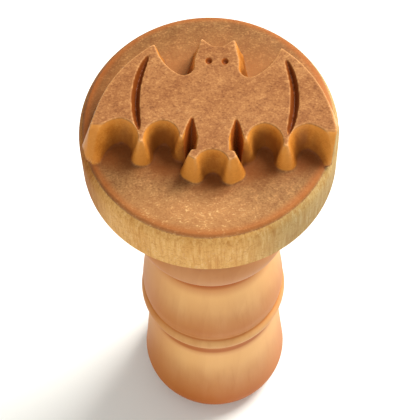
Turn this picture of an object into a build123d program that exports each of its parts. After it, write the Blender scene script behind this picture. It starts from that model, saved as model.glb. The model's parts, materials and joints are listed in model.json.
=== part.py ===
from build123d import *
import math
import os

os.makedirs("parts", exist_ok=True)

# Turned wooden clay stamp, in millimetres, standing on its handle with the carved face up.
# The origin is the centre of the handle's foot, +Z runs up the turning axis, and the top of
# the carved bat points to +Y.

# Carved head: a turned disc whose upper face is cut down round the raised figure
face_radius = 12.0
head_radius = 12.7
head_foot_radius = 12.6
head_thickness = 6.7
head_foot_edge = 0.35
shoulder_drop = 1.7
floor_rise = 0.7
floor_flat_radius = 8.0

# Raised figure
relief_height = 3.5
relief_draft = 13.0
relief_root_depth = 0.5
relief_corner = 0.12
figure_offset = 0.67
finger_groove_width = 0.82
finger_groove_depth = 0.95
eye_radius = 0.36
eye_depth = 0.4
eye_taper = 20.0
overrun = 1.0

# Handle, from its foot up: each rise is counted from the feature below it
foot_radius = 6.1
knob_radius = 7.86
knob_rise = 4.0
knob_shoulder_radius = 7.4
knob_shoulder_rise = 6.0
lower_groove_radius = 6.5
lower_groove_rise = 6.0
lower_lip_radius = 7.62
lower_lip_rise = 1.8
crease_radius = 7.28
crease_rise = 2.7
barrel_foot_radius = 7.56
barrel_foot_rise = 1.2
barrel_radius = 7.0
barrel_length = 10.6
upper_groove_radius = 6.15
upper_lip_radius = 8.2
upper_lip_rise = 2.4
flare_radius = 7.7
flare_rise = 2.6
neck_radius = 5.5
neck_rise = 4.9
seat_radius = 7.2
seat_rise = 4.8
seat_band = 0.9

# Joint between the two: a shallow seat in the head and one fluted dowel
seat_depth = 0.6
seat_clearance = 0.1
dowel_radius = 2.5
dowel_length = 15.0
dowel_in_head = 4.6
dowel_end_gap = 0.3
dowel_glue_gap = 0.05
dowel_chamfer = 0.6
flute_count = 12
flute_radius = 0.35
flute_depth = 0.2

knob_shoulder_height = knob_rise + knob_shoulder_rise
lower_groove_height = knob_shoulder_height + lower_groove_rise
lower_lip_height = lower_groove_height + lower_lip_rise
crease_height = lower_lip_height + crease_rise
barrel_foot_height = crease_height + barrel_foot_rise
upper_groove_height = barrel_foot_height + barrel_length
upper_lip_height = upper_groove_height + upper_lip_rise
flare_height = upper_lip_height + flare_rise
neck_height = flare_height + neck_rise
band_height = neck_height + seat_rise
seat_height = band_height + seat_band
head_foot_height = seat_height - seat_depth
rim_height = head_foot_height + head_thickness
floor_height = rim_height + floor_rise
relief_top = floor_height + relief_height
relief_root = rim_height - relief_root_depth
dowel_top = seat_height + dowel_in_head
dowel_bottom = dowel_top - dowel_length
bore_radius = dowel_radius + dowel_glue_gap
draft_slope = math.tan(math.radians(relief_draft))

# Outline of the figure's flat top, right half, in shares of the face radius, x out from the
# figure's middle line and y towards its head. Three points make an arc, two make a line.
figure_outline_shares = (
    ((0.085, 0.182), (0.300, 0.240), (0.517, 0.512)),  # front of the wing, neck to wrist
    ((0.517, 0.512), (0.795, 0.225), (0.942, -0.128)),  # outer edge of the wing
    ((0.942, -0.128), (1.045, -0.500)),
    ((1.045, -0.500), (0.962, -0.500)),  # tip, past the side of the disc
    ((0.962, -0.500), (0.916, -0.244), (0.750, -0.152)),  # outer scallop
    ((0.750, -0.152), (0.649, -0.195), (0.584, -0.360)),
    ((0.584, -0.360), (0.566, -0.360)),  # spur under the finger
    ((0.566, -0.360), (0.517, -0.212), (0.402, -0.158)),  # inner scallop
    ((0.402, -0.158), (0.317, -0.192), (0.258, -0.310)),
    ((0.258, -0.310), (0.108, -0.350)),  # foot of the wing, across to the waist
    ((0.108, -0.350), (0.122, -0.420), (0.182, -0.476)),  # outer side of the leg
    ((0.182, -0.476), (0.138, -0.502)),  # foot
    ((0.085, 0.182), (0.165, 0.335), (0.150, 0.465)),  # cheek
    ((0.150, 0.465), (0.128, 0.578)),  # ear
    ((0.128, 0.578), (0.048, 0.512)),
    ((0.048, 0.512), (0.000, 0.512)),  # crown
)
leg_arch_share = ((0.000, -0.408), (0.138, -0.502))
eye_place_share = (0.066, 0.385)

# Stations along a finger groove, from wrist to spur: x, y in shares of the face radius, then
# width and depth there in shares of the groove's own full width and depth.
groove_start_share = (0.516, 0.500)
groove_station_shares = (
    (0.587, 0.335, 0.80, 0.80),
    (0.635, 0.060, 1.00, 1.00),
    (0.610, -0.190, 0.80, 0.80),
)
groove_end_share = (0.576, -0.352)

# Stations along the slit between wing and body, with each side's x at that y
slit_start_share = (0.167, -0.070)
slit_station_shares = ((0.153, 0.208, -0.195), (0.122, 0.243, -0.305), (0.128, 0.280, -0.430))


def on_figure(share):
    """Place a share of the face radius on the figure's plane."""
    return (share[0] * face_radius, share[1] * face_radius)


def figure_plane(height):
    """Level plane at a height, centred on the figure's middle line."""
    return Plane((figure_offset, 0, height))


def wedge(middle, half_width, depth, side):
    """Upright V section across a groove, its mouth a little above the figure's top."""
    x, y = on_figure(middle)
    plane = Plane(origin=(figure_offset + side * x, y, relief_top), x_dir=(1, 0, 0), z_dir=(0, -1, 0))
    lift = overrun * half_width / depth
    with BuildSketch(plane) as section:
        with BuildLine():
            Polyline(
                (-half_width - lift, overrun),
                (half_width + lift, overrun),
                (0, -depth),
                close=True,
            )
        make_face()
    return section.sketch


def run_out(share, side):
    """Point where a groove fades out, at the height of its sections' mouths."""
    x, y = on_figure(share)
    return Vertex(figure_offset + side * x, y, relief_top + overrun)


with BuildPart() as stamp_head:
    with BuildSketch(Plane.XZ):
        with BuildLine():
            underside = Line((0, head_foot_height), (head_foot_radius - head_foot_edge, head_foot_height))
            edge = Line(underside @ 1, (head_foot_radius, head_foot_height + head_foot_edge))
            side_line = Line(edge @ 1, (head_radius, rim_height - shoulder_drop))
            shoulder = TangentArc(side_line @ 1, (face_radius, rim_height), tangent=side_line % 1)
            floor_slope = TangentArc(
                (floor_flat_radius, floor_height), (face_radius, rim_height), tangent=(1, 0)
            )
            floor = Line(floor_slope @ 0, (0, floor_height))
            Line(floor @ 1, underside @ 0)
        make_face()
    revolve(axis=Axis.Z)
    with BuildSketch(figure_plane(relief_root)):
        with BuildLine():
            for stretch in figure_outline_shares:
                points = [on_figure(share) for share in stretch]
                if len(points) == 3:
                    ThreePointArc(*points)
                else:
                    Line(*points)
            TangentArc(*[on_figure(share) for share in leg_arch_share], tangent=(1, 0))
            mirror(about=Plane.YZ)
        make_face()
        root_spread = (relief_top - relief_root) * draft_slope + relief_corner
        offset(amount=root_spread, kind=Kind.ARC)
    extrude(amount=relief_top - relief_root, taper=relief_draft)
    with BuildSketch(Plane.XY.offset(head_foot_height)):
        Circle(head_radius)
    extrude(amount=relief_top - head_foot_height + overrun, mode=Mode.INTERSECT)

    for side in (-1, 1):
        sections = [run_out(groove_start_share, side)]
        for x_share, y_share, width_share, depth_share in groove_station_shares:
            half_width = finger_groove_width * width_share / 2
            depth = finger_groove_depth * depth_share
            sections.append(wedge((x_share, y_share), half_width, depth, side))
        sections.append(run_out(groove_end_share, side))
        loft(sections, mode=Mode.SUBTRACT)
        sections = [run_out(slit_start_share, side)]
        for inner_share, outer_share, y_share in slit_station_shares:
            half_width = (outer_share - inner_share) / 2 * face_radius
            middle = ((outer_share + inner_share) / 2, y_share)
            sections.append(wedge(middle, half_width, half_width / draft_slope, side))
        loft(sections, ruled=True, mode=Mode.SUBTRACT)

    eye_x, eye_y = on_figure(eye_place_share)
    with BuildSketch(figure_plane(relief_top)):
        with Locations((-eye_x, eye_y), (eye_x, eye_y)):
            Circle(eye_radius)
    extrude(amount=-eye_depth, taper=eye_taper, mode=Mode.SUBTRACT)

    with BuildSketch(Plane.XY.offset(head_foot_height)):
        Circle(seat_radius + seat_clearance)
    extrude(amount=seat_depth, mode=Mode.SUBTRACT)
    with BuildSketch(Plane.XY.offset(seat_height)):
        Circle(bore_radius)
    extrude(amount=dowel_in_head + dowel_end_gap, mode=Mode.SUBTRACT)

with BuildPart() as handle:
    with BuildSketch(Plane.XZ):
        with BuildLine():
            knob = ThreePointArc(
                (knob_radius, knob_rise),
                (knob_shoulder_radius, knob_shoulder_height),
                (lower_groove_radius, lower_groove_height),
            )
            foot_round = TangentArc(knob @ 0, (foot_radius, 0), tangent=(knob % 0) * -1)
            lower_lip = ThreePointArc(
                knob @ 1,
                (lower_lip_radius, lower_lip_height),
                (crease_radius, crease_height),
            )
            barrel = ThreePointArc(
                (barrel_foot_radius, barrel_foot_height),
                (barrel_radius, (barrel_foot_height + upper_groove_height) / 2),
                (upper_groove_radius, upper_groove_height),
            )
            TangentArc(barrel @ 0, lower_lip @ 1, tangent=(barrel % 0) * -1)
            upper_lip = ThreePointArc(
                barrel @ 1,
                (upper_lip_radius, upper_lip_height),
                (flare_radius, flare_height),
            )
            neck = ThreePointArc(
                upper_lip @ 1,
                (neck_radius, neck_height),
                (seat_radius, band_height),
            )
            band = Line(neck @ 1, (seat_radius, seat_height))
            seat = Line(band @ 1, (0, seat_height))
            foot = Line((0, 0), foot_round @ 1)
            Line(seat @ 1, foot @ 0)
        make_face()
    revolve(axis=Axis.Z)
    with BuildSketch(Plane.XY.offset(seat_height)):
        Circle(bore_radius)
    extrude(amount=-(seat_height - dowel_bottom + dowel_end_gap), mode=Mode.SUBTRACT)

with BuildPart() as dowel_pin:
    with BuildSketch(Plane.XY.offset(dowel_bottom)):
        Circle(dowel_radius)
        with PolarLocations(dowel_radius + flute_radius - flute_depth, flute_count):
            Circle(flute_radius, mode=Mode.SUBTRACT)
    extrude(amount=dowel_length)
    with BuildSketch(Plane.XZ):
        with BuildLine():
            pin_foot = Line((0, dowel_bottom), (dowel_radius - dowel_chamfer, dowel_bottom))
            low_taper = Line(pin_foot @ 1, (dowel_radius, dowel_bottom + dowel_chamfer))
            pin_side = Line(low_taper @ 1, (dowel_radius, dowel_top - dowel_chamfer))
            high_taper = Line(pin_side @ 1, (dowel_radius - dowel_chamfer, dowel_top))
            pin_head = Line(high_taper @ 1, (0, dowel_top))
            Line(pin_head @ 1, pin_foot @ 0)
        make_face()
    revolve(axis=Axis.Z, mode=Mode.INTERSECT)

stamp_head.part.label = "stamp_head"
handle.part.label = "handle"
dowel_pin.part.label = "dowel_pin"
export_step(stamp_head.part, "parts/stamp_head.step")
export_step(handle.part, "parts/handle.step")
export_step(dowel_pin.part, "parts/dowel_pin.step")
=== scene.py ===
import json
import math

import bmesh
import bpy
from mathutils import Matrix, Vector, noise
from mathutils.bvhtree import BVHTree

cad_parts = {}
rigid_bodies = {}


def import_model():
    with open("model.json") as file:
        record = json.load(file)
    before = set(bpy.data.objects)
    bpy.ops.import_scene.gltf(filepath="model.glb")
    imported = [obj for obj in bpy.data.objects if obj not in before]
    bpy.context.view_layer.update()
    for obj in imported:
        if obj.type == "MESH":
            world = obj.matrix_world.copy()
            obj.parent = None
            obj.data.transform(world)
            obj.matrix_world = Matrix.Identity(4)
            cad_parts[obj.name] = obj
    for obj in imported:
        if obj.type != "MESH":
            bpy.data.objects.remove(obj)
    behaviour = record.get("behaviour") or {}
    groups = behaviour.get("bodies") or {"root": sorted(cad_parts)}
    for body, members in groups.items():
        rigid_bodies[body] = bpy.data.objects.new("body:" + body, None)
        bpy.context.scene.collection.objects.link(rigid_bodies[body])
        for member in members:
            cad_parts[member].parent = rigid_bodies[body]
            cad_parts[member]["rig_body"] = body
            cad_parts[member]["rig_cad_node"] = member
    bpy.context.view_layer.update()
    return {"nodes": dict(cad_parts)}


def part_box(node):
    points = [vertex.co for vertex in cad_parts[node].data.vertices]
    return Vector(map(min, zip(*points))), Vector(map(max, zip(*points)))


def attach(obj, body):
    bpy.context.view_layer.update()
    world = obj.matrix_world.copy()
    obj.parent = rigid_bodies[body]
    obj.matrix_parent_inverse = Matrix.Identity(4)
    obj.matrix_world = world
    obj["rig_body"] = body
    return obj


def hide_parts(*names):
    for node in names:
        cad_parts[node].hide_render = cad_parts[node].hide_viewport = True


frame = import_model()
MM = 0.001


# Carved head. One turned disc of pale close-grained hardwood, its fibres along the turning
# axis. Its upper face is cut down round the raised bat with a small tapered cutter, then
# brushed with oil, which the end grain drinks and the side does not.
HEAD_FOOT, FIGURE_TOP = (corner.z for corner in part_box("stamp_head"))
RIM_HEIGHT = 54.0 * MM
FACE_RADIUS = 12.0 * MM
SIDE_RADIUS = 12.7 * MM
FOOT_EDGE_RADIUS = 12.6 * MM
FOOT_EDGE = 0.35 * MM
SHOULDER_START = RIM_HEIGHT - 1.7 * MM
SHOULDER_DROP = RIM_HEIGHT - SHOULDER_START
SHOULDER_INSET = SIDE_RADIUS - FACE_RADIUS
SHOULDER_BEND = (SHOULDER_DROP**2 + SHOULDER_INSET**2) / (2 * SHOULDER_INSET)
FLOOR_RISE = 0.7 * MM
FLAT_FLOOR_RADIUS = 8.0 * MM
FLOOR_RUN = FACE_RADIUS - FLAT_FLOOR_RADIUS
FLOOR_BEND = (FLOOR_RUN**2 + FLOOR_RISE**2) / (2 * FLOOR_RISE)
SEAT_RECESS_RADIUS = 7.3 * MM
SEAT_RECESS_DEPTH = 0.6 * MM
BORE_RADIUS = 2.55 * MM
BORE_TOP = HEAD_FOOT + 5.5 * MM
CARVING_MESH = 0.12 * MM
SAME_POINT = 0.0005 * MM
SOFTENING_PASSES = 2


def turned_side_radius(height):
    """Radius of the disc's side and rounded shoulder at a height."""
    if height <= SHOULDER_START:
        share = (height - HEAD_FOOT) / (SHOULDER_START - HEAD_FOOT)
        return FOOT_EDGE_RADIUS + (SIDE_RADIUS - FOOT_EDGE_RADIUS) * share
    up = min(height - SHOULDER_START, SHOULDER_DROP)
    return SIDE_RADIUS - SHOULDER_BEND + math.sqrt(SHOULDER_BEND**2 - up**2)


def carved_floor_height(distance):
    """Height of the slightly domed carved floor at a distance from the turning axis."""
    if distance <= FLAT_FLOOR_RADIUS:
        return RIM_HEIGHT + FLOOR_RISE
    out = min(distance - FLAT_FLOOR_RADIUS, FLOOR_RUN)
    return RIM_HEIGHT + FLOOR_RISE - FLOOR_BEND + math.sqrt(FLOOR_BEND**2 - out**2)


def ground_height(distance):
    """Height of the disc without its figure, floor or rounded shoulder, at a distance."""
    if distance <= FACE_RADIUS:
        return carved_floor_height(distance)
    out = min(distance - SIDE_RADIUS + SHOULDER_BEND, SHOULDER_BEND)
    return SHOULDER_START + math.sqrt(SHOULDER_BEND**2 - out**2)


def share_of(amount, whole):
    """The share that an amount is of a whole, from 0 to 1."""
    return min(max(amount / whole, 0.0), 1.0)


def evenly_meshed(node_name, piece_name, voxel):
    """A merged copy of a CAD node, remeshed to small even faces."""
    piece = frame["nodes"][node_name].copy()
    piece.data = piece.data.copy()
    piece.name = piece_name
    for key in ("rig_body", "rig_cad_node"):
        if key in piece:
            del piece[key]
    piece.parent = None
    bpy.context.scene.collection.objects.link(piece)
    merged = bmesh.new()
    merged.from_mesh(piece.data)
    bmesh.ops.remove_doubles(merged, verts=merged.verts, dist=SAME_POINT)
    bmesh.ops.recalc_face_normals(merged, faces=merged.faces)
    merged.to_mesh(piece.data)
    merged.free()
    remesh = piece.modifiers.new("even_faces", "REMESH")
    remesh.mode = "VOXEL"
    remesh.voxel_size = voxel
    ready = bpy.context.evaluated_depsgraph_get()
    settled = bpy.data.meshes.new_from_object(piece.evaluated_get(ready))
    piece.modifiers.clear()
    piece.data = settled
    piece.data.name = piece_name
    return piece


carved_head = evenly_meshed("stamp_head", "carved_head", CARVING_MESH)
shape = bmesh.new()
shape.from_mesh(carved_head.data)
for _ in range(SOFTENING_PASSES):
    bmesh.ops.smooth_vert(
        shape, verts=shape.verts, factor=0.5, use_axis_x=True, use_axis_y=True, use_axis_z=True
    )

# The remeshed bore and underside go, and the cut edge of the side is drawn down, in and up
# again. The cut runs between two rows of the even faces, because along a row it would tear.
SIDE_CUT_HEIGHT = SHOULDER_START - 0.46 * MM
old_bore = []
for face in shape.faces:
    middle = face.calc_center_median()
    if middle.xy.length < 2 * BORE_RADIUS and middle.z < RIM_HEIGHT:
        old_bore.append(face)
bmesh.ops.delete(shape, geom=old_bore, context="FACES")
cut = bmesh.ops.bisect_plane(
    shape,
    geom=shape.verts[:] + shape.edges[:] + shape.faces[:],
    plane_co=(0, 0, SIDE_CUT_HEIGHT),
    plane_no=(0, 0, 1),
    clear_inner=True,
)
drawn = [item for item in cut["geom_cut"] if isinstance(item, bmesh.types.BMEdge)]
for radius, height in (
    (turned_side_radius(HEAD_FOOT + FOOT_EDGE), HEAD_FOOT + FOOT_EDGE),
    (FOOT_EDGE_RADIUS - FOOT_EDGE, HEAD_FOOT),
    (SEAT_RECESS_RADIUS, HEAD_FOOT),
    (SEAT_RECESS_RADIUS, HEAD_FOOT + SEAT_RECESS_DEPTH),
    (BORE_RADIUS, HEAD_FOOT + SEAT_RECESS_DEPTH),
    (BORE_RADIUS, BORE_TOP),
):
    grown = bmesh.ops.extrude_edge_only(shape, edges=drawn)["geom"]
    drawn = [item for item in grown if isinstance(item, bmesh.types.BMEdge)]
    for vert in [item for item in grown if isinstance(item, bmesh.types.BMVert)]:
        spread = radius / vert.co.xy.length
        vert.co = (vert.co.x * spread, vert.co.y * spread, height)
bmesh.ops.contextual_create(shape, geom=drawn)
bmesh.ops.recalc_face_normals(shape, faces=shape.faces)

# The wing tips slope down to the rim, the side is set back on its turned form, and the floor
# and walls are left a little uneven, as a hand-led cutter leaves them. Masks mark the cut
# walls, the turned side, and how far up towards the figure's top each point stands.
TIP_FALL_START = -2.5 * MM
TIP_FALL_RUN = 2.7 * MM
TIP_INNER_EDGE = 9.2 * MM
SIDE_INNER_EDGE = FACE_RADIUS - 0.1 * MM
SIDE_SKIN = SIDE_RADIUS - 0.22 * MM
SIDE_MASK_TOP = RIM_HEIGHT - 0.35 * MM
FACING_OUT = 0.75
FACING_UP = 0.8
FLOOR_SLACK = 0.3 * MM
WALL_FOOT = 0.03 * MM
WALL_HEAD = 0.05 * MM
WALL_MASK_FADE = 0.12 * MM
CARVED_DEPTH = FIGURE_TOP - RIM_HEIGHT - FLOOR_RISE
UNEVEN_WALL_TOP = FIGURE_TOP - 0.3 * MM
UNEVEN_FLOOR_TOP = FIGURE_TOP - 0.5 * MM
CUTTER_WANDER = 0.035 * MM
WANDER_LENGTH = 2.3 * MM
WANDER_SEED = 5
noise.seed_set(WANDER_SEED)
shape.normal_update()
wall_mask = shape.verts.layers.float.new("cut_wall")
side_mask = shape.verts.layers.float.new("turned_side")
raised_mask = shape.verts.layers.float.new("raised_top")
for vert in shape.verts:
    distance = vert.co.xy.length
    droop = share_of(TIP_FALL_START - vert.co.y, TIP_FALL_RUN)
    droop *= droop * (3 - 2 * droop)
    lift = vert.co.z - ground_height(distance)
    if abs(vert.co.x) > TIP_INNER_EDGE and lift > 0 and droop > 0:
        vert.co.z -= lift * droop
    height = vert.co.z
    outward = vert.normal.xy.dot(vert.co.xy) / max(distance, MM)
    if HEAD_FOOT + FOOT_EDGE < height < RIM_HEIGHT and distance > SIDE_INNER_EDGE:
        spread = turned_side_radius(height) / distance
        vert.co.x *= spread
        vert.co.y *= spread
    flush = distance > SIDE_SKIN and outward > FACING_OUT
    if flush or height < SIDE_MASK_TOP:
        vert[side_mask] = 1.0
    floor_here = carved_floor_height(distance)
    if height > floor_here - FLOOR_SLACK and not flush:
        above = share_of(height - floor_here - WALL_FOOT, WALL_MASK_FADE)
        below = share_of(FIGURE_TOP - WALL_HEAD - height, WALL_MASK_FADE)
        vert[wall_mask] = above * below
    vert[raised_mask] = share_of(height - floor_here, CARVED_DEPTH)
    wander = noise.noise_vector(vert.co / WANDER_LENGTH) * CUTTER_WANDER
    if distance < FACE_RADIUS and vert.normal.z > FACING_UP and height < UNEVEN_FLOOR_TOP:
        vert.co.z += wander.z
    elif vert[wall_mask] > 0.5 and height < UNEVEN_WALL_TOP:
        vert.co.x += wander.x
        vert.co.y += wander.y

# Edges pale with wear and painted highlight, and corners with painted shade, from how each point bulges.
PALE_EDGE_FROM, PALE_EDGE_RANGE = 0.04, 0.14
CORNER_SHADE_FROM, CORNER_SHADE_RANGE = 0.03, 0.12
edge_mask = shape.verts.layers.float.new("worn_and_lit_edge")
corner_mask = shape.verts.layers.float.new("shaded_corner")
shape.normal_update()
bulge = {}
for vert in shape.verts:
    if vert.co.z < SHOULDER_START:
        continue
    pull = run = 0.0
    for edge in vert.link_edges:
        step = edge.other_vert(vert).co - vert.co
        pull += step.dot(vert.normal)
        run += step.length
    bulge[vert] = -pull / run
for vert, amount in bulge.items():
    near = [bulge[edge.other_vert(vert)] for edge in vert.link_edges if edge.other_vert(vert) in bulge]
    mean = (amount + sum(near)) / (1 + len(near))
    vert[edge_mask] = share_of(mean - PALE_EDGE_FROM, PALE_EDGE_RANGE)
    vert[corner_mask] = share_of(-mean - CORNER_SHADE_FROM, CORNER_SHADE_RANGE)

# How deep in a hollow each point of the carving lies: the share of its view of the sky, all
# round and at two slopes, that the walls about it close; it sets where shade is painted. Scored
# lines are the walls that face another one close by. No edge in a hollow is painted pale.
SKY_SLOPES = (math.radians(14), math.radians(42))
SKY_TURNS = 14
SKY_REACH = 5 * MM
EYE_LIFT = 0.1 * MM
CARVING_FOOT = RIM_HEIGHT - 0.6 * MM
SCORED_WIDTH = 1.1 * MM
SCORED_LEVEL = RIM_HEIGHT + FLOOR_RISE + 0.8 * MM
HOLLOW_PASSES = 6
SCORED_PASSES = 3
hollow_mask = shape.verts.layers.float.new("hollow")
scored_mask = shape.verts.layers.float.new("scored_line")
shape.verts.ensure_lookup_table()
carving = BVHTree.FromBMesh(shape)
sky = [
    Vector((math.cos(turn) * math.cos(slope), math.sin(turn) * math.cos(slope), math.sin(slope)))
    for slope in SKY_SLOPES
    for turn in [math.tau * step / SKY_TURNS for step in range(SKY_TURNS)]
]
closed, scored = {}, {}
for vert in shape.verts:
    if vert.co.z < CARVING_FOOT or (vert[raised_mask] > 0.97 and vert.normal.z > 0.9):
        continue
    eye = vert.co + vert.normal * EYE_LIFT
    open_side = [ray for ray in sky if ray.dot(vert.normal) > 0.05]
    stopped = sum(carving.ray_cast(eye, ray, SKY_REACH)[0] is not None for ray in open_side)
    closed[vert] = stopped / max(len(open_side), 1)
    level = Vector((vert.normal.x, vert.normal.y, 0.0))
    cut_in = vert[wall_mask] > 0.3
    if cut_in and level.length > 0.2:
        cut_in = carving.ray_cast(eye, level.normalized(), SCORED_WIDTH)[0] is not None
    elif vert.co.z < SCORED_LEVEL:
        cut_in = False
    scored[vert] = float(cut_in)
beside = {
    vert: [edge.other_vert(vert) for edge in vert.link_edges if edge.other_vert(vert) in closed]
    for vert in closed
}


def evened_out(shares, neighbours, passes):
    """Shares at points, each averaged with its neighbours' a number of times."""
    for _ in range(passes):
        shares = {
            vert: (share + sum(shares[other] for other in neighbours[vert])) / (1 + len(neighbours[vert]))
            for vert, share in shares.items()
        }
    return shares


scored = evened_out(scored, beside, SCORED_PASSES)
for vert, share in evened_out(closed, beside, HOLLOW_PASSES).items():
    vert[scored_mask] = scored[vert]
    vert[hollow_mask] = share
    vert[edge_mask] *= max(1 - 4 * share, 0.0)
shape.to_mesh(carved_head.data)
shape.free()
for face in carved_head.data.polygons:
    face.use_smooth = True


def tint(red, green, blue):
    """A colour of a paint card, 0 to 255, as the linear colour that a shader takes."""
    parts = [part / 255 for part in (red, green, blue)]
    return tuple(p / 12.92 if p < 0.04045 else ((p + 0.055) / 1.055) ** 2.4 for p in parts) + (1.0,)


def grey(value):
    """A number as a colour, so that it can be mixed as colours are."""
    return (value, value, value, 1.0)


def add(tree, kind, links=None, **options):
    """A shader node with its options set and its sockets given values or other nodes' outputs."""
    made = tree.nodes.new(kind)
    for option, value in options.items():
        setattr(made, option, value)
    for socket, value in (links or {}).items():
        if isinstance(value, bpy.types.NodeSocket):
            tree.links.new(value, made.inputs[socket])
        else:
            made.inputs[socket].default_value = value
    return made


def reckon(tree, operation, first, second=0.0):
    """The result of one sum on numbers."""
    return add(tree, "ShaderNodeMath", {0: first, 1: second}, operation=operation).outputs[0]


def both(tree, first, second):
    """One mask within another, or a share of a mask."""
    return reckon(tree, "MULTIPLY", first, second)


def fade(tree, value, low, high, start=0.0, end=1.0):
    """A value eased from start to end while it runs from low to high."""
    links = {"Value": value, "From Min": low, "From Max": high, "To Min": start, "To Max": end}
    return add(tree, "ShaderNodeMapRange", links, interpolation_type="SMOOTHSTEP").outputs[0]


def towards(tree, value, far, most):
    """How far a noise has gone from its middle of 0.5 to a far value, up to the most it gives."""
    return fade(tree, value, 0.5, far, 0.0, most)


def stain(tree, amount, under, over, way="MIX"):
    """One colour laid over another by an amount."""
    links = {0: amount, 6: under, 7: over}
    return add(tree, "ShaderNodeMix", links, data_type="RGBA", blend_type=way).outputs[2]


def layered(tree, tone, *layers):
    """A colour with others laid over it in turn, each by its own amount."""
    for amount, colour in layers:
        tone = stain(tree, amount, tone, colour)
    return tone


def cloud(tree, place, scale, detail=2.0, rough=0.5, gives="Fac"):
    """Soft noise, 0 to 1, at a scale per millimetre."""
    links = {"Vector": place, "Scale": scale, "Detail": detail, "Roughness": rough}
    return add(tree, "ShaderNodeTexNoise", links).outputs[gives]


def moved(tree, operation, first, second):
    """The result of one sum on places."""
    links = {0: first, 1: second}
    return add(tree, "ShaderNodeVectorMath", links, operation=operation).outputs[0]


def stretched(tree, place, *squeeze):
    """A place squeezed along X, Y and Z, which draws out what is patterned on it."""
    return moved(tree, "MULTIPLY", place, squeeze)


def scaled(tree, place, size):
    """A place made larger or smaller alike in all directions."""
    links = {0: place, "Scale": size}
    return add(tree, "ShaderNodeVectorMath", links, operation="SCALE").outputs[0]


def new_effect(name, takes, gives):
    """An empty node group with its inputs and outputs."""
    group = bpy.data.node_groups.new(name, "ShaderNodeTree")
    for label, kind, value in takes:
        socket = group.interface.new_socket(label, in_out="INPUT", socket_type=kind)
        if value is not None:
            socket.default_value = value
    for label in gives:
        group.interface.new_socket(label, in_out="OUTPUT", socket_type="NodeSocketFloat")
    return group, group.nodes.new("NodeGroupInput").outputs, group.nodes.new("NodeGroupOutput").inputs


def apply_effect(tree, group, links):
    """The outputs of a placed node group with its own values."""
    return add(tree, "ShaderNodeGroup", links, node_tree=group).outputs


def new_finish(name):
    """A new material, its node tree, its surface shader and the place on the piece."""
    finish = bpy.data.materials.new(name)
    finish.use_nodes = True
    tree = finish.node_tree
    place = add(tree, "ShaderNodeTexCoord").outputs["Object"]
    return finish, tree, tree.nodes["Principled BSDF"], place


def raise_grain(tree, surface, strength, depth, height):
    """Fine relief on a finish, from a height that changes over the wood."""
    links = {"Strength": strength, "Distance": depth, "Height": height}
    tree.links.new(add(tree, "ShaderNodeBump", links).outputs[0], surface.inputs["Normal"])


# Yearly rings and slow patches of tone, the same in every cut through the wood.
METRES_TO_MM = 1000.0
wood_figure, taken, given = new_effect(
    "wood_figure",
    (
        ("Place", "NodeSocketVector", None),
        ("Pith", "NodeSocketVector", (-30.0, 22.0, 0.0)),
        ("Ring Width", "NodeSocketFloat", 2.0),
        ("Wander", "NodeSocketFloat", 1.5),
    ),
    ("Ring", "Patch"),
)
in_mm = scaled(wood_figure, taken["Place"], METRES_TO_MM)
drift = cloud(wood_figure, stretched(wood_figure, in_mm, 0.09, 0.09, 0.02), 1.0, 3.0, gives="Color")
drift = moved(wood_figure, "SUBTRACT", drift, (0.5, 0.5, 0.5))
drift = scaled(wood_figure, drift, taken["Wander"])
bent = moved(wood_figure, "ADD", in_mm, drift)
bent = moved(wood_figure, "SUBTRACT", bent, taken["Pith"])
bent = stretched(wood_figure, bent, 1.0, 1.0, 0.03)
reach = add(wood_figure, "ShaderNodeVectorMath", {0: bent}, operation="LENGTH").outputs["Value"]
year = reckon(wood_figure, "FRACT", reckon(wood_figure, "DIVIDE", reach, taken["Ring Width"]))
late = fade(wood_figure, year, 0.45, 0.93)
sharp_end = fade(wood_figure, year, 0.95, 1.0, 1.0, 0.0)
patches = cloud(wood_figure, stretched(wood_figure, in_mm, 0.28, 0.28, 0.1), 1.0, 3.0)
wood_figure.links.new(both(wood_figure, late, sharp_end), given["Ring"])
wood_figure.links.new(patches, given["Patch"])

# Fibres cut across: a fine mottle, open pores, and here and there a lifted, glistening tuft.
end_grain, taken, given = new_effect(
    "end_grain",
    (("Place", "NodeSocketVector", None), ("Mottle Scale", "NodeSocketFloat", 3.6)),
    ("Mottle", "Pores", "Tufts", "Height"),
)
in_mm = scaled(end_grain, taken["Place"], METRES_TO_MM)
drawn_out = stretched(end_grain, in_mm, 0.9, 1.2, 1.0)
mottle = cloud(end_grain, drawn_out, taken["Mottle Scale"], 4.0, 0.62)
blotch = cloud(end_grain, drawn_out, 1.5, 2.0)
mottle = reckon(end_grain, "ADD", both(end_grain, mottle, 0.66), both(end_grain, blotch, 0.34))
cells = add(end_grain, "ShaderNodeTexVoronoi", {"Vector": in_mm, "Scale": 4.6})
open_cell = fade(end_grain, cells.outputs["Distance"], 0.12, 0.34, 1.0, 0.0)
chosen = fade(end_grain, cloud(end_grain, in_mm, 1.1, 2.0), 0.42, 0.6)
pores = both(end_grain, open_cell, chosen)
fleck = cloud(end_grain, stretched(end_grain, in_mm, 3.4, 7.6, 3.0), 1.0, 2.0, 0.6)
fleck = fade(end_grain, fleck, 0.54, 0.68)
tufts = both(end_grain, fleck, fade(end_grain, blotch, 0.42, 0.58, 0.15, 1.0))
relief = reckon(end_grain, "SUBTRACT", mottle, both(end_grain, pores, 0.5))
relief = reckon(end_grain, "ADD", relief, both(end_grain, tufts, 0.5))
end_grain.links.new(mottle, given["Mottle"])
end_grain.links.new(pores, given["Pores"])
end_grain.links.new(tufts, given["Tufts"])
end_grain.links.new(relief, given["Height"])

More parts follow.
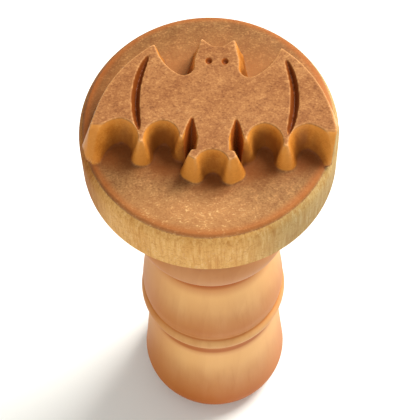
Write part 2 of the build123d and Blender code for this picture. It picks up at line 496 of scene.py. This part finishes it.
# Fibres seen along their length: pale and dark streaks, and short open vessel lines.
long_grain, taken, given = new_effect(
    "long_grain",
    (("Place", "NodeSocketVector", None), ("Streak Scale", "NodeSocketFloat", 3.0)),
    ("Streaks", "Vessels", "Height"),
)
in_mm = scaled(long_grain, taken["Place"], METRES_TO_MM)
streaks = stretched(long_grain, in_mm, 1.0, 1.0, 0.07)
streaks = cloud(long_grain, streaks, taken["Streak Scale"], 5.0, 0.65)
fine = cloud(long_grain, stretched(long_grain, in_mm, 5.5, 5.5, 0.5), 1.0, 3.0, 0.6)
chosen = fade(long_grain, cloud(long_grain, stretched(long_grain, in_mm, 0.9, 0.9, 0.3), 1.0), 0.4, 0.6)
vessels = both(long_grain, fade(long_grain, fine, 0.54, 0.68), chosen)
relief = reckon(long_grain, "ADD", both(long_grain, streaks, 0.5), fine)
long_grain.links.new(streaks, given["Streaks"])
long_grain.links.new(vessels, given["Vessels"])
long_grain.links.new(relief, given["Height"])

HEAD_MASKS = (
    "cut_wall", "turned_side", "raised_top", "worn_and_lit_edge", "shaded_corner", "hollow", "scored_line"
)
head_wood, tree, surface, place = new_finish("head_wood")
masks = {
    name: add(tree, "ShaderNodeAttribute", attribute_name=name).outputs["Fac"]
    for name in HEAD_MASKS
}
figure = apply_effect(tree, wood_figure, {"Place": place})
across = apply_effect(tree, end_grain, {"Place": place, "Mottle Scale": 5.2})
along = apply_effect(tree, long_grain, {"Place": place, "Streak Scale": 3.4})
sides = add(tree, "ShaderNodeSeparateXYZ", {0: place}).outputs
patch = fade(tree, figure["Patch"], 0.35, 0.65)
raised = fade(tree, masks["raised_top"], 0.8, 0.98)
lowered = reckon(tree, "SUBTRACT", 1.0, raised)

# Cut across: pinkish brown and mottled. The floor has painted light towards the front, with
# painted glints on lifted fibres there, painted light in the pockets beside the bat's head,
# and painted shade behind and on the left of the rim, painted light on the rim's right.
FLOOR_BACK_SHADED, FLOOR_FRONT_LIT, FLOOR_PATCH = tint(118, 79, 42), tint(138, 98, 57), tint(142, 100, 58)
TOP_DARK, TOP_PALE = tint(140, 90, 49), tint(150, 100, 57)
FACE_RING, FACE_PORE = tint(112, 60, 30), tint(84, 42, 20)
FACE_MOTTLE_DARK, FACE_MOTTLE_PALE = tint(100, 54, 26), tint(190, 138, 84)
LIT_FRONT, TUFT_GLINT = tint(212, 148, 90), tint(228, 184, 122)
POCKET_LIGHT = tint(160, 104, 56)
RIM_LEFT_SHADE, RIM_RIGHT_LIGHT = tint(112, 60, 26), tint(196, 150, 98)
# The floor is painted darker behind and lighter in front, as painted shade and light.
front_half = fade(tree, sides["Y"], 2.0 * MM, -4.0 * MM)
floor_tone = stain(tree, front_half, FLOOR_BACK_SHADED, FLOOR_FRONT_LIT)
floor_tone = stain(tree, both(tree, patch, 0.5), floor_tone, FLOOR_PATCH)
top_tone = stain(tree, patch, TOP_DARK, TOP_PALE)
# Painted light on the front of the floor, and painted glints on the lifted fibres there.
front = fade(tree, sides["Y"], -6.8 * MM, -10.2 * MM)
front = both(tree, front, fade(tree, sides["X"], 7.0 * MM, 1.0 * MM, 0.3, 1.0))
front = both(tree, front, lowered)
glint_spread = reckon(tree, "MAXIMUM", front, fade(tree, figure["Patch"], 0.54, 0.64, 0.0, 0.25))
glisten = both(tree, across["Tufts"], glint_spread)
# Painted light in the pockets beside the bat's head.
pocket = both(tree, fade(tree, sides["Y"], 0.5 * MM, 2.5 * MM), masks["hollow"])
# Painted shade on the left of the rim and painted light on its right.
left_rim = fade(tree, sides["X"], -7.5 * MM, -11.5 * MM, 0.0, 0.4)
right_rim = fade(tree, sides["X"], 10.0 * MM, 12.2 * MM, 0.0, 0.5)
face_tone = layered(
    tree,
    stain(tree, raised, floor_tone, top_tone),
    (both(tree, figure["Ring"], 0.2), FACE_RING),
    (towards(tree, across["Mottle"], 0.36, 0.6), FACE_MOTTLE_DARK),
    (towards(tree, across["Mottle"], 0.66, 0.5), FACE_MOTTLE_PALE),
    (both(tree, across["Pores"], 0.4), FACE_PORE),
    (both(tree, front, 0.3), LIT_FRONT),
    (both(tree, glisten, 0.6), TUFT_GLINT),
    (both(tree, pocket, lowered), POCKET_LIGHT),
    (both(tree, left_rim, lowered), RIM_LEFT_SHADE),
    (both(tree, right_rim, lowered), RIM_RIGHT_LIGHT),
)

# Cut walls: smooth and saturated, with painted light on the open walls, painted dark-brown shade
# deep in the hollows and painted shade in the scored lines. The slits beside the body are paler
# than the wings' finger grooves.
WALL_DARK, WALL_PALE, LIT_OPEN_WALL = tint(184, 111, 35), tint(198, 128, 50), tint(218, 144, 62)
WALL_MOTTLE_DARK, WALL_MOTTLE_PALE = tint(150, 80, 22), tint(218, 154, 72)
HOLLOW_SHADE = tint(118, 62, 19)
BODY_SLIT_SHADE, FINGER_GROOVE_SHADE = tint(150, 76, 26), tint(112, 52, 16)
CORNER_SHADE, WORN_AND_LIT_EDGE = tint(96, 46, 14), tint(224, 166, 104)
wall_tone = layered(
    tree,
    stain(tree, patch, WALL_DARK, WALL_PALE),
    (towards(tree, across["Mottle"], 0.36, 0.4), WALL_MOTTLE_DARK),
    (towards(tree, across["Mottle"], 0.64, 0.35), WALL_MOTTLE_PALE),
    # Painted light on the open walls.
    (fade(tree, masks["hollow"], 0.2, 0.02, 0.0, 0.55), LIT_OPEN_WALL),
)
# Painted shade deep in the hollows, on the walls and on the floor in front.
deep_wall = both(tree, fade(tree, masks["hollow"], 0.12, 0.5), masks["cut_wall"])
before_middle = fade(tree, sides["Y"], 1.0 * MM, -1.0 * MM)
deep_floor = both(tree, fade(tree, masks["hollow"], 0.1, 0.5), before_middle)
deep = reckon(tree, "MAXIMUM", deep_wall, deep_floor)
# Painted shade in the scored lines, paler in the slits beside the body.
outside_body = fade(tree, reckon(tree, "ABSOLUTE", sides["X"]), 3.5 * MM, 5.0 * MM)
scored_tone = stain(tree, outside_body, BODY_SLIT_SHADE, FINGER_GROOVE_SHADE)
face_tone = layered(
    tree,
    face_tone,
    (masks["cut_wall"], wall_tone),
    (both(tree, deep, 0.85), HOLLOW_SHADE),
    (fade(tree, masks["scored_line"], 0.1, 0.6, 0.0, 0.92), scored_tone),
    # Painted shade in the concave corners; pale edges, part wear and part painted highlight.
    (both(tree, masks["shaded_corner"], 0.75), CORNER_SHADE),
    (both(tree, masks["worn_and_lit_edge"], 0.7), WORN_AND_LIT_EDGE),
)

# Side: yellower, with the streaks of the long grain, painted shade on the left and a greener
# painted shade on the right. A thin dark line runs where the side meets the face.
SIDE_DARK, SIDE_PALE = tint(202, 148, 78), tint(210, 160, 92)
SIDE_STREAK_DARK, SIDE_STREAK_PALE = tint(176, 110, 48), tint(226, 182, 120)
SIDE_VESSEL, SIDE_MOTTLE = tint(230, 190, 126), tint(176, 118, 56)
LEFT_SIDE_SHADE, RIGHT_SIDE_SHADE = tint(190, 154, 92), tint(208, 230, 255)
RIM_LINE = tint(160, 88, 36)
RIM_LINE_HEIGHT = RIM_HEIGHT - 0.05 * MM
side_tone = layered(
    tree,
    stain(tree, patch, SIDE_DARK, SIDE_PALE),
    (towards(tree, along["Streaks"], 0.34, 0.5), SIDE_STREAK_DARK),
    (towards(tree, along["Streaks"], 0.66, 0.5), SIDE_STREAK_PALE),
    (both(tree, along["Vessels"], 0.35), SIDE_VESSEL),
    (towards(tree, across["Mottle"], 0.38, 0.55), SIDE_MOTTLE),
)
# Painted shade on the left and on the right of the side.
shade = fade(tree, sides["X"], -8.5 * MM, -12.3 * MM, 0.0, 0.9)
side_tone = stain(tree, shade, side_tone, LEFT_SIDE_SHADE, "MULTIPLY")
shade = fade(tree, sides["X"], 2.5 * MM, 9.0 * MM, 0.0, 0.85)
side_tone = stain(tree, shade, side_tone, RIGHT_SIDE_SHADE, "MULTIPLY")
rim_gap = reckon(tree, "ABSOLUTE", reckon(tree, "SUBTRACT", sides["Z"], RIM_LINE_HEIGHT))
wood_tone = layered(
    tree,
    face_tone,
    (masks["turned_side"], side_tone),
    (fade(tree, rim_gap, 0.05 * MM, 0.3 * MM, 0.6, 0.0), RIM_LINE),
)
tree.links.new(wood_tone, surface.inputs["Base Color"])

rough = layered(
    tree,
    grey(0.66),
    (masks["turned_side"], grey(0.8)),
    (masks["cut_wall"], grey(0.42)),
    (glisten, grey(0.25)),
)
tree.links.new(rough, surface.inputs["Roughness"])
BARE_WOOD_GLOSS = 0.12
surface.inputs["Specular IOR Level"].default_value = BARE_WOOD_GLOSS
links = {0: masks["turned_side"], 2: across["Height"], 3: along["Height"]}
relief = add(tree, "ShaderNodeMix", links).outputs[0]
strength = reckon(tree, "SUBTRACT", 0.6, both(tree, masks["cut_wall"], 0.45))
raise_grain(tree, surface, strength, 0.03 * MM, relief)
carved_head.data.materials.clear()
carved_head.data.materials.append(head_wood)
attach(carved_head, "root")
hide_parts("stamp_head")


# Turned handle. One spindle of the same pale hardwood, turned between centres to a knob, a
# barrel between two lips and a cove up to its seat under the head, sanded on the lathe, and
# given a thin satin oil.
SPINDLE_STEPS = 144
SPINDLE_SAME_POINT = 0.002 * MM
# Radius and height in mm, from the foot up. An arc runs through three points, in so many steps.
SPINDLE_FOOT = [(0.0, 0.0), (4.0, 0.0), (6.1, 0.0)]
SPINDLE_ARCS = (
    ((6.1, 0.0), (7.443, 1.39), (7.86, 3.1), 22),  # rounded foot
    ((7.86, 3.1), (7.34, 10.0), (6.95, 16.9), 26),  # knob, up to the lower groove
    ((6.95, 16.9), (7.78, 17.9), (7.42, 19.35), 22),  # lower lip, up to its crease
    ((7.42, 19.35), (7.56, 20.24), (7.6, 21.2), 10),  # rounded foot of the barrel
    ((7.6, 21.2), (7.0, 27.0), (6.15, 32.3), 26),  # barrel, up to the upper groove
    ((6.15, 32.3), (8.2, 34.7), (7.7, 37.3), 22),  # upper lip
    ((7.7, 37.3), (5.5, 42.2), (7.2, 47.0), 24),  # cove under the head
)
SPINDLE_SEAT = [(7.2, 47.85), (7.15, 47.9), (2.6, 47.9)]
SPINDLE_BORE = [(2.55, 47.85), (2.55, 37.25), (0.0, 37.2)]


def arc_points(start, middle, end, count):
    """Points of the arc through three points, after its start, as radius and height in mm."""
    (ax, ay), (bx, by), (cx, cy) = start, middle, end
    area = 2 * (ax * (by - cy) + bx * (cy - ay) + cx * (ay - by))
    squares = [x * x + y * y for x, y in (start, middle, end)]
    centre_x = (squares[0] * (by - cy) + squares[1] * (cy - ay) + squares[2] * (ay - by)) / area
    centre_y = (squares[0] * (cx - bx) + squares[1] * (ax - cx) + squares[2] * (bx - ax)) / area
    radius = math.hypot(ax - centre_x, ay - centre_y)
    angles = [math.atan2(y - centre_y, x - centre_x) for x, y in (start, middle, end)]
    first = (angles[1] - angles[0] + math.pi) % (2 * math.pi) - math.pi
    second = (angles[2] - angles[1] + math.pi) % (2 * math.pi) - math.pi
    turns = [angles[0] + (first + second) * step / count for step in range(1, count + 1)]
    return [(centre_x + radius * math.cos(turn), centre_y + radius * math.sin(turn)) for turn in turns]


profile = list(SPINDLE_FOOT)
for arc in SPINDLE_ARCS:
    profile += arc_points(*arc)
profile += SPINDLE_SEAT + SPINDLE_BORE
spindle = bmesh.new()
line = [spindle.verts.new((radius * MM, 0, height * MM)) for radius, height in profile]
edges = [spindle.edges.new(pair) for pair in zip(line, line[1:])]
bmesh.ops.spin(
    spindle,
    geom=line + edges,
    axis=(0, 0, 1),
    angle=2 * math.pi,
    steps=SPINDLE_STEPS,
    use_merge=True,
)
bmesh.ops.remove_doubles(spindle, verts=spindle.verts, dist=SPINDLE_SAME_POINT)
bmesh.ops.recalc_face_normals(spindle, faces=spindle.faces)
handle_mesh = bpy.data.meshes.new("turned_handle")
spindle.to_mesh(handle_mesh)
spindle.free()
for face in handle_mesh.polygons:
    face.use_smooth = True
turned_handle = bpy.data.objects.new("turned_handle", handle_mesh)
bpy.context.scene.collection.objects.link(turned_handle)

HANDLE_DARK, HANDLE_PALE, HANDLE_RING = tint(197, 141, 82), tint(205, 153, 95), tint(164, 96, 40)
HANDLE_STREAK_DARK, HANDLE_STREAK_PALE = tint(166, 98, 42), tint(216, 160, 96)
SHOULDER_LIGHT, FOOT_SHADE, UPPER_LIP_SHADE = tint(232, 178, 112), tint(166, 84, 8), tint(176, 112, 74)
GROOVE_WARM_SHADE, GROOVE_SHADE_LINE = tint(176, 98, 34), tint(160, 72, 4)
HANDLE_LEFT_SHADE, HANDLE_RIGHT_SHADE = tint(182, 106, 26), tint(196, 126, 62)
handle_wood, tree, surface, place = new_finish("handle_wood")
figure = apply_effect(tree, wood_figure, {"Place": place, "Ring Width": 2.6, "Wander": 2.5})
along = apply_effect(tree, long_grain, {"Place": place, "Streak Scale": 1.6})
sides = add(tree, "ShaderNodeSeparateXYZ", {0: place}).outputs
height = reckon(tree, "MULTIPLY", sides["Z"], METRES_TO_MM)
patch = fade(tree, figure["Patch"], 0.35, 0.65)
tone = layered(
    tree,
    stain(tree, patch, HANDLE_DARK, HANDLE_PALE),
    (both(tree, figure["Ring"], 0.14), HANDLE_RING),
    (towards(tree, along["Streaks"], 0.3, 0.16), HANDLE_STREAK_DARK),
    (towards(tree, along["Streaks"], 0.7, 0.16), HANDLE_STREAK_PALE),
)
# Knob and barrel get painted light at the shoulder and painted shade above the foot: the
# heights of both in mm, how far up the shade reaches, and how strong it is.
for shoulder, foot, reach, amount in ((13.5, 1.2, 11.0, 0.95), (29.0, 20.6, 5.5, 0.6)):
    above = fade(tree, height, shoulder - 5.5, shoulder, 0.0, 0.6)
    below = fade(tree, height, shoulder + 1.2, shoulder + 3.2, 1.0, 0.0)
    tone = stain(tree, both(tree, above, below), tone, SHOULDER_LIGHT)
    above = fade(tree, height, foot + 0.5, foot + reach, amount, 0.0)
    below = fade(tree, height, foot - 1.4, foot - 0.6)
    tone = stain(tree, both(tree, above, below), tone, FOOT_SHADE)
# Painted shade on the upper lip, under the head's overhang.
above = fade(tree, height, 32.8, 33.8, 0.0, 0.5)
below = fade(tree, height, 38.0, 41.0, 1.0, 0.0)
tone = stain(tree, both(tree, above, below), tone, UPPER_LIP_SHADE)
# Painted shade, with a warm orange cast, in the lower groove, the crease and the upper groove:
# height and spread in mm, and how strong it is.
for groove, spread, amount in ((15.5, 1.6, 0.65), (19.35, 0.5, 0.4), (31.1, 2.9, 0.85)):
    gap = reckon(tree, "ABSOLUTE", reckon(tree, "SUBTRACT", height, groove))
    tone = layered(
        tree,
        tone,
        (fade(tree, gap, 0.0, spread, amount, 0.0), GROOVE_WARM_SHADE),
        (fade(tree, gap, 0.1 * spread, 0.45 * spread, amount, 0.0), GROOVE_SHADE_LINE),
    )
# Painted shade down the left side of the handle, and lighter painted shade down its right.
tone = layered(
    tree,
    tone,
    (fade(tree, sides["X"], -2.6 * MM, -7.0 * MM, 0.0, 0.65), HANDLE_LEFT_SHADE),
    (fade(tree, sides["X"], 4.6 * MM, 7.6 * MM, 0.0, 0.35), HANDLE_RIGHT_SHADE),
)
tree.links.new(tone, surface.inputs["Base Color"])
surface.inputs["Roughness"].default_value = 0.55
surface.inputs["Specular IOR Level"].default_value = BARE_WOOD_GLOSS
surface.inputs["Coat Weight"].default_value = 0.1
surface.inputs["Coat Roughness"].default_value = 0.3
raise_grain(tree, surface, 0.3, 0.015 * MM, along["Height"])
turned_handle.data.materials.append(handle_wood)
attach(turned_handle, "root")
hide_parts("handle")


# Dowel pin. A bare beech pin with pressed flutes, glued into the blind bores of head and
# handle. It is the CAD solid as it is, with the long grain of beech for its finish.
PIN_PALE, PIN_RING = tint(214, 178, 132), tint(200, 158, 110)
PIN_STREAK, PIN_VESSEL = tint(176, 130, 84), tint(140, 96, 60)
dowel_wood, tree, surface, place = new_finish("dowel_wood")
figure = apply_effect(tree, wood_figure, {"Place": place, "Ring Width": 1.2, "Wander": 0.8})
along = apply_effect(tree, long_grain, {"Place": place, "Streak Scale": 4.0})
tone = layered(
    tree,
    stain(tree, figure["Ring"], PIN_PALE, PIN_RING),
    (towards(tree, along["Streaks"], 0.3, 0.5), PIN_STREAK),
    (both(tree, along["Vessels"], 0.7), PIN_VESSEL),
)
tree.links.new(tone, surface.inputs["Base Color"])
surface.inputs["Roughness"].default_value = 0.6
raise_grain(tree, surface, 0.6, 0.03 * MM, along["Height"])
dowel_pin = frame["nodes"]["dowel_pin"]
dowel_pin.data.materials.clear()
dowel_pin.data.materials.append(dowel_wood)


# Floor, light and camera: a white sweep, a broad soft light high behind on the right, a weak
# one in front, bright air all round, and a long lens above the front.
SWEEP_HALF_WIDTH = 3.0
SWEEP_WHITE = (0.865, 0.885, 0.85, 1)
AIR_BRIGHTNESS = 0.54
white_sweep = bpy.data.materials.new("white_sweep")
white_sweep.use_nodes = True
surface = white_sweep.node_tree.nodes["Principled BSDF"]
surface.inputs["Base Color"].default_value = SWEEP_WHITE
surface.inputs["Roughness"].default_value = 0.9
sweep = bmesh.new()
bmesh.ops.create_grid(sweep, x_segments=1, y_segments=1, size=SWEEP_HALF_WIDTH)
sweep_mesh = bpy.data.meshes.new("studio_floor")
sweep.to_mesh(sweep_mesh)
sweep.free()
studio_floor = bpy.data.objects.new("studio_floor", sweep_mesh)
studio_floor.data.materials.append(white_sweep)
bpy.context.scene.collection.objects.link(studio_floor)

stamp_middle = Vector((0, 0, 40 * MM))
for name, place, width, watts, colour in (
    ("key_light", (0.20, 0.18, 0.35), 0.20, 3.0, (1.0, 0.97, 0.93)),
    ("front_fill", (-0.10, -0.42, 0.22), 0.30, 0.6, (1.0, 0.98, 0.96)),
):
    light = bpy.data.lights.new(name, "AREA")
    light.shape = "RECTANGLE"
    light.size = light.size_y = width
    light.energy = watts
    light.color = colour
    lamp = bpy.data.objects.new(name, light)
    lamp.location = place
    lamp.rotation_euler = (stamp_middle - Vector(place)).to_track_quat("-Z", "Y").to_euler()
    bpy.context.scene.collection.objects.link(lamp)

world = bpy.data.worlds.new("studio_air")
world.use_nodes = True
world.node_tree.nodes["Background"].inputs["Color"].default_value = (1.0, 1.0, 1.0, 1)
world.node_tree.nodes["Background"].inputs["Strength"].default_value = AIR_BRIGHTNESS
bpy.context.scene.world = world
bpy.context.scene.view_settings.view_transform = "Standard"

CAMERA_DISTANCE = 20 * FACE_RADIUS
CAMERA_ELEVATION = math.radians(60.815)
CAMERA_AZIMUTH = math.radians(3.816)
CAMERA_TILT = math.radians(27.185)
CAMERA_ROLL = math.radians(-1.62)
camera_lens = bpy.data.cameras.new("camera")
camera_lens.sensor_width = 36.0
camera_lens.lens = 211.8
camera_lens.shift_x = -0.00245
camera_lens.clip_start = 0.01
camera_lens.clip_end = 20.0
camera = bpy.data.objects.new("camera", camera_lens)
stand_off = Vector((0, -math.cos(CAMERA_ELEVATION), math.sin(CAMERA_ELEVATION))) * CAMERA_DISTANCE
camera.matrix_world = (
    Matrix.Translation((0, 0, RIM_HEIGHT))
    @ Matrix.Rotation(CAMERA_AZIMUTH, 4, "Z")
    @ Matrix.Translation(stand_off)
    @ Matrix.Rotation(CAMERA_TILT, 4, "X")
    @ Matrix.Rotation(CAMERA_ROLL, 4, "Z")
)
bpy.context.scene.collection.objects.link(camera)
bpy.context.scene.camera = camera
